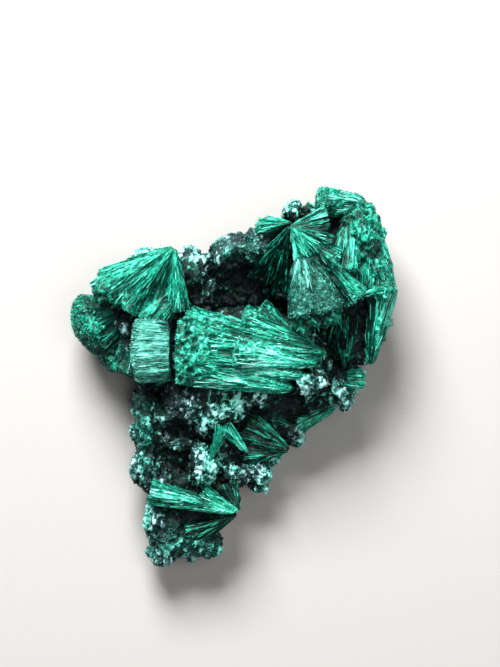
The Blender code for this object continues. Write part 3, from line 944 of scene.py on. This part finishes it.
def crystals_on(skin, rng, lean):
    """Stubby crystals that stand straight up, or lean down the face."""
    per_point = MATRIX_STEP**2 * CRYSTALS_PER_AREA * (0.25 + skin.tone)
    chosen = deal(showing(skin) * np.clip(per_point, 0, None), rng, MOST_CRYSTALS)
    count = len(chosen)
    normals = skin.normals[chosen]
    way = unit_rows(normals + skin.flow[chosen] * lean + rng.normal(0, 0.5, (count, 3)))
    length = rng.gamma(2.0, CRYSTAL_LENGTH, (count, 1)) * (1 + 1.4 * lean) + SHORTEST_CRYSTAL
    half = rng.uniform(*CRYSTAL_HALVES, count)
    root = skin.points[chosen] - normals * CRYSTAL_DEPTH
    tip = root + way * length
    tone = skin.tone[chosen] * 0.7 + rng.normal(0.12, 0.2, count)
    blunt = rng.uniform(0.1, 0.6, count)
    out = unit_rows(rng.normal(size=(count, 3)))
    rise = np.full(count, 0.3)
    return Strands(root, tip, out, half, blunt, tone, rise, skin.open[chosen])


for seed, region in enumerate(LUMPS):
    rng = np.random.default_rng(100 + seed)
    crystals = crystals_on(SKINS[region], rng, LEAN.get(region, 0.0))
    lay_splinters(region + "_crystals", CRYSTAL, crystals, rng)

# %% [markdown]
# The finishes are procedural. Each is written as sums on values, so a small class wraps a socket and
# turns arithmetic into Math nodes. A second class makes the other nodes.

# %% A way to write materials
class Flow:
    """A value in a material. Arithmetic on it adds Math nodes."""

    def __init__(self, tree, socket):
        self.tree = tree
        self.socket = socket

    def math(self, operation, first, second):
        node = self.tree.nodes.new("ShaderNodeMath")
        node.operation = operation
        for socket, value in zip(node.inputs, (first, second)):
            plug(self.tree, socket, value)
        return Flow(self.tree, node.outputs[0])

    def __add__(self, other):
        return self.math("ADD", self, other)

    def __sub__(self, other):
        return self.math("SUBTRACT", self, other)

    def __mul__(self, other):
        return self.math("MULTIPLY", self, other)


def plug(tree, socket, value):
    if isinstance(value, Flow):
        tree.links.new(value.socket, socket)
    else:
        socket.default_value = value


def set_stops(ramp, stops):
    while len(ramp.elements) < len(stops):
        ramp.elements.new(1.0)
    for element, (place, colour) in zip(ramp.elements, stops):
        element.position = place
        element.color = (*colour, 1.0)


class Finish:
    """A material and the one way of adding nodes to it."""

    def __init__(self, name):
        self.material = bpy.data.materials.new(name)
        self.material.use_nodes = True
        self.tree = self.material.node_tree
        self.shader = self.tree.nodes["Principled BSDF"]

    def node(self, kind, settings=None, output=0, **sockets):
        """Adds a node. Its sockets go by their names, or by an underscore and a number."""
        made = self.tree.nodes.new(kind)
        for key, value in (settings or {}).items():
            if key == "stops":
                set_stops(made.color_ramp, value)
            else:
                setattr(made, key, value)
        for key, value in sockets.items():
            socket = made.inputs[int(key[1:])] if key[0] == "_" else made.inputs[key]
            plug(self.tree, socket, value)
        return Flow(self.tree, made.outputs[output])

    def noise(self, place, scale, detail, roughness=0.7):
        settings = {"Vector": place, "Scale": scale, "Detail": detail, "Roughness": roughness}
        return self.node("ShaderNodeTexNoise", **settings)

    def ramp(self, stops, place):
        return self.node("ShaderNodeValToRGB", {"stops": stops}, Fac=place)

    def value(self, name):
        """A number kept on the mesh."""
        return self.node("ShaderNodeAttribute", {"attribute_name": name}, output=2)

    def vector(self, name):
        """A vector kept on the mesh."""
        return self.node("ShaderNodeAttribute", {"attribute_name": name}, output=1)

    def set(self, **sockets):
        for key, value in sockets.items():
            plug(self.tree, self.shader.inputs[key.replace("_", " ")], value)


# %% [markdown]
# Malachite fibres run from nearly black between them, through emerald, to pale blue-green where they
# catch the light. The colour follows a streaky noise that is stretched along the fibre, the tone of
# the ledge or splinter, and how open the place is, so part of the dark between them and in hollows is
# painted shade. Four sets of colours do for all the sprays: pale, bright, a dark one for the sprays
# that lie in shade, partly their deeper green and partly painted shade, and a muted one for the
# greyer velvet.

# %% Fibre finishes
BLACK_GREEN = (0.0004, 0.008, 0.006)
DARK_GREEN = (0.0012, 0.03, 0.021)
DEEP_GREEN = (0.001, 0.06, 0.038)
LEAF_GREEN = (0.003, 0.125, 0.082)
EMERALD = (0.004, 0.27, 0.165)
TEAL = (0.024, 0.48, 0.34)
PALE = (0.15, 0.70, 0.56)
DUSTY = (0.38, 0.80, 0.73)
MOSS = (0.012, 0.13, 0.095)
SAGE = (0.06, 0.34, 0.27)
VELVET = (0.17, 0.60, 0.49)


def fibre_finish(name, stops, roughness):
    finish = Finish(name)
    fibre = finish.vector("fibre")
    tone = finish.value("tone")
    openness = finish.value("open")
    place = finish.node("ShaderNodeTexCoord", output=3)
    streak = finish.noise(fibre, 6.0, 3.0)
    mottle = finish.noise(place, 1700.0, 4.0)
    # Closed places are darker through openness: painted shade in the hollows.
    shade = tone * 0.9 + streak * 1.3 + mottle * 0.9 + openness * 0.6 - 1.52
    finish.set(Base_Color=finish.ramp(stops, shade))
    finish.set(Roughness=streak * 0.5 + roughness, Specular_IOR_Level=0.2)
    relief = finish.noise(fibre, 15.0, 3.0)
    finish.set(Normal=finish.node("ShaderNodeBump", Strength=0.6, Distance=0.00006, Height=relief))
    return finish.material


PALE_STOPS = [
    (0.08, DARK_GREEN), (0.26, LEAF_GREEN), (0.46, EMERALD), (0.66, TEAL), (0.84, PALE), (1.0, DUSTY),
]
BRIGHT_STOPS = [(0.12, DARK_GREEN), (0.34, LEAF_GREEN), (0.56, EMERALD), (0.78, TEAL), (0.98, PALE)]
# The dark set: partly the deeper green of sprays in shade, partly painted shade.
SHADE_STOPS = [(0.3, BLACK_GREEN), (0.5, DEEP_GREEN), (0.72, EMERALD), (0.95, TEAL)]
MUTED_STOPS = [(0.1, DARK_GREEN), (0.3, MOSS), (0.54, SAGE), (0.78, VELVET), (1.0, DUSTY)]
FIBRE_FINISHES = {
    "pale": fibre_finish("pale_fibres", PALE_STOPS, 0.2),
    "bright": fibre_finish("bright_fibres", BRIGHT_STOPS, 0.12),
    "shade": fibre_finish("deep_and_shaded_fibres", SHADE_STOPS, 0.12),
    "muted": fibre_finish("muted_velvet", MUTED_STOPS, 0.3),
}
TONES = {
    "barrel": "pale", "column": "muted", "left_fan": "bright", "left_lobe": "bright", "star": "bright",
    "star_shade": "shade", "tongue": "muted", "cap": "pale", "cheek": "bright", "right_lobe": "bright",
    "side_shade": "shade", "pale_blades": "pale", "foot_fan": "pale", "foot_shade": "shade",
    "back_sprays": "shade",
}
for region, tone in TONES.items():
    for name in (region, region + "_fibres"):
        PIECES[name].data.materials.append(FIBRE_FINISHES[tone])

# %% [markdown]
# The matrix is blue-black, and its frost goes from blue-green to a lilac grey from one patch to the
# next. A fine grain breaks both up. The crystals take the frost's colours, and a low roughness makes
# some of them glint. The upper right has the fibres' own green instead.

# %% Matrix finishes
INK = (0.001, 0.008, 0.0065)
SLATE = (0.012, 0.036, 0.04)
CRUST = (0.03, 0.30, 0.235)
FROST_TEAL = (0.26, 0.76, 0.65)
STONE = (0.07, 0.16, 0.165)
FROST_LILAC = (0.46, 0.68, 0.74)
TEAL_STOPS = [(0.15, INK), (0.32, DEEP_GREEN), (0.52, CRUST), (0.9, FROST_TEAL)]
LILAC_STOPS = [(0.2, INK), (0.4, SLATE), (0.58, STONE), (0.98, FROST_LILAC)]


def frosted(finish, shade, place):
    """Blue-green in some places and lilac grey in others, over the same shade."""
    teal = finish.ramp(TEAL_STOPS, shade)
    lilac = finish.ramp(LILAC_STOPS, shade)
    drift = finish.noise(place, 330.0, 3.0, 0.5)
    share = drift * 4.0 - 1.5
    return finish.node("ShaderNodeMix", {"data_type": "RGBA"}, output=2, _0=share, _6=teal, _7=lilac)


def matrix_finish():
    finish = Finish("matrix_rock")
    place = finish.node("ShaderNodeTexCoord", output=3)
    patches = finish.noise(place, 1100.0, 4.0)
    grains = finish.noise(place, 7500.0, 2.0)
    frost = finish.value("frost")
    # Closed places are darker through openness: painted shade in the hollows.
    shade = frost * 0.9 + patches * 0.9 + grains * 1.5 + finish.value("open") * 0.7 - 1.55
    finish.set(Base_Color=frosted(finish, shade, place))
    finish.set(Roughness=grains * 0.4 + 0.35, Specular_IOR_Level=0.2)
    finish.set(Normal=finish.node("ShaderNodeBump", Strength=0.8, Distance=0.00008, Height=grains))
    return finish.material


def crystal_finish():
    finish = Finish("crystals")
    place = finish.node("ShaderNodeTexCoord", output=3)
    speckle = finish.noise(finish.vector("fibre"), 5.0, 2.0, 0.5)
    # Closed places are darker through openness: painted shade in the hollows.
    shade = finish.value("tone") * 0.85 + speckle * 0.4 + finish.value("open") * 0.3 - 0.4
    finish.set(Base_Color=frosted(finish, shade, place))
    finish.set(Roughness=speckle * 0.3 + 0.12, Specular_IOR_Level=0.35)
    return finish.material


MATRIX_FINISH = matrix_finish()
CRYSTAL_FINISH = crystal_finish()
for name in LUMPS:
    is_green = name == "cheek_dome"
    PIECES[name].data.materials.append(FIBRE_FINISHES["bright"] if is_green else MATRIX_FINISH)
    crystals = PIECES[name + "_crystals"].data
    crystals.materials.append(FIBRE_FINISHES["bright"] if is_green else CRYSTAL_FINISH)

# %% [markdown]
# The stone lies on a plain pale floor, under one large soft light from above the top of its face and
# a weak one beside the camera. The undersides and hollows fall into shade, which shows the relief.

# %% Floor, light and camera
FLOOR_HALF = 0.4
FLOOR_COLOUR = (0.40, 0.39, 0.375, 1.0)
ROOM_COLOUR = (1.0, 1.0, 1.0, 1.0)
ROOM_STRENGTH = 0.08
PHOTO_PIXELS = 667
STEPS_PER_PIXEL = 0.1
FRAME_HEIGHT = PHOTO_PIXELS * STEPS_PER_PIXEL * GRID
LOOK_AT = Vector((1.8 * GRID, 4.45 * GRID, 9.0 * GRID))
CAMERA_DISTANCE = 0.3
SENSOR = 36.0

bm = bmesh.new()
bmesh.ops.create_grid(bm, x_segments=1, y_segments=1, size=FLOOR_HALF)
floor = add_object("floor", mesh_of(bm, "floor"))
floor_finish = Finish("floor_pale")
floor_finish.set(Base_Color=FLOOR_COLOUR, Roughness=0.8)
floor.data.materials.append(floor_finish.material)


def add_light(name, place, size, power):
    light = bpy.data.lights.new(name, "AREA")
    light.size = size
    light.energy = power
    lamp = add_object(name, light)
    lamp.location = place
    lamp.rotation_euler = (LOOK_AT - Vector(place)).to_track_quat("-Z", "Y").to_euler()


add_light("key_light", (-0.05, 0.20, 0.19), size=0.13, power=2.4)
add_light("fill_light", (0.10, -0.02, 0.30), size=0.2, power=0.45)
world = bpy.data.worlds.new("room")
world.use_nodes = True
background = world.node_tree.nodes["Background"]
background.inputs["Color"].default_value = ROOM_COLOUR
background.inputs["Strength"].default_value = ROOM_STRENGTH
bpy.context.scene.world = world
bpy.context.scene.view_settings.view_transform = "Standard"

lens = bpy.data.cameras.new("camera")
lens.sensor_width = SENSOR
lens.lens = SENSOR * CAMERA_DISTANCE / FRAME_HEIGHT
lens.clip_start = 0.01
lens.clip_end = 5.0
camera = add_object("camera", lens)
camera.location = LOOK_AT + Vector((0, 0, CAMERA_DISTANCE))
bpy.context.scene.camera = camera
print("lens, mm:", round(lens.lens, 1))
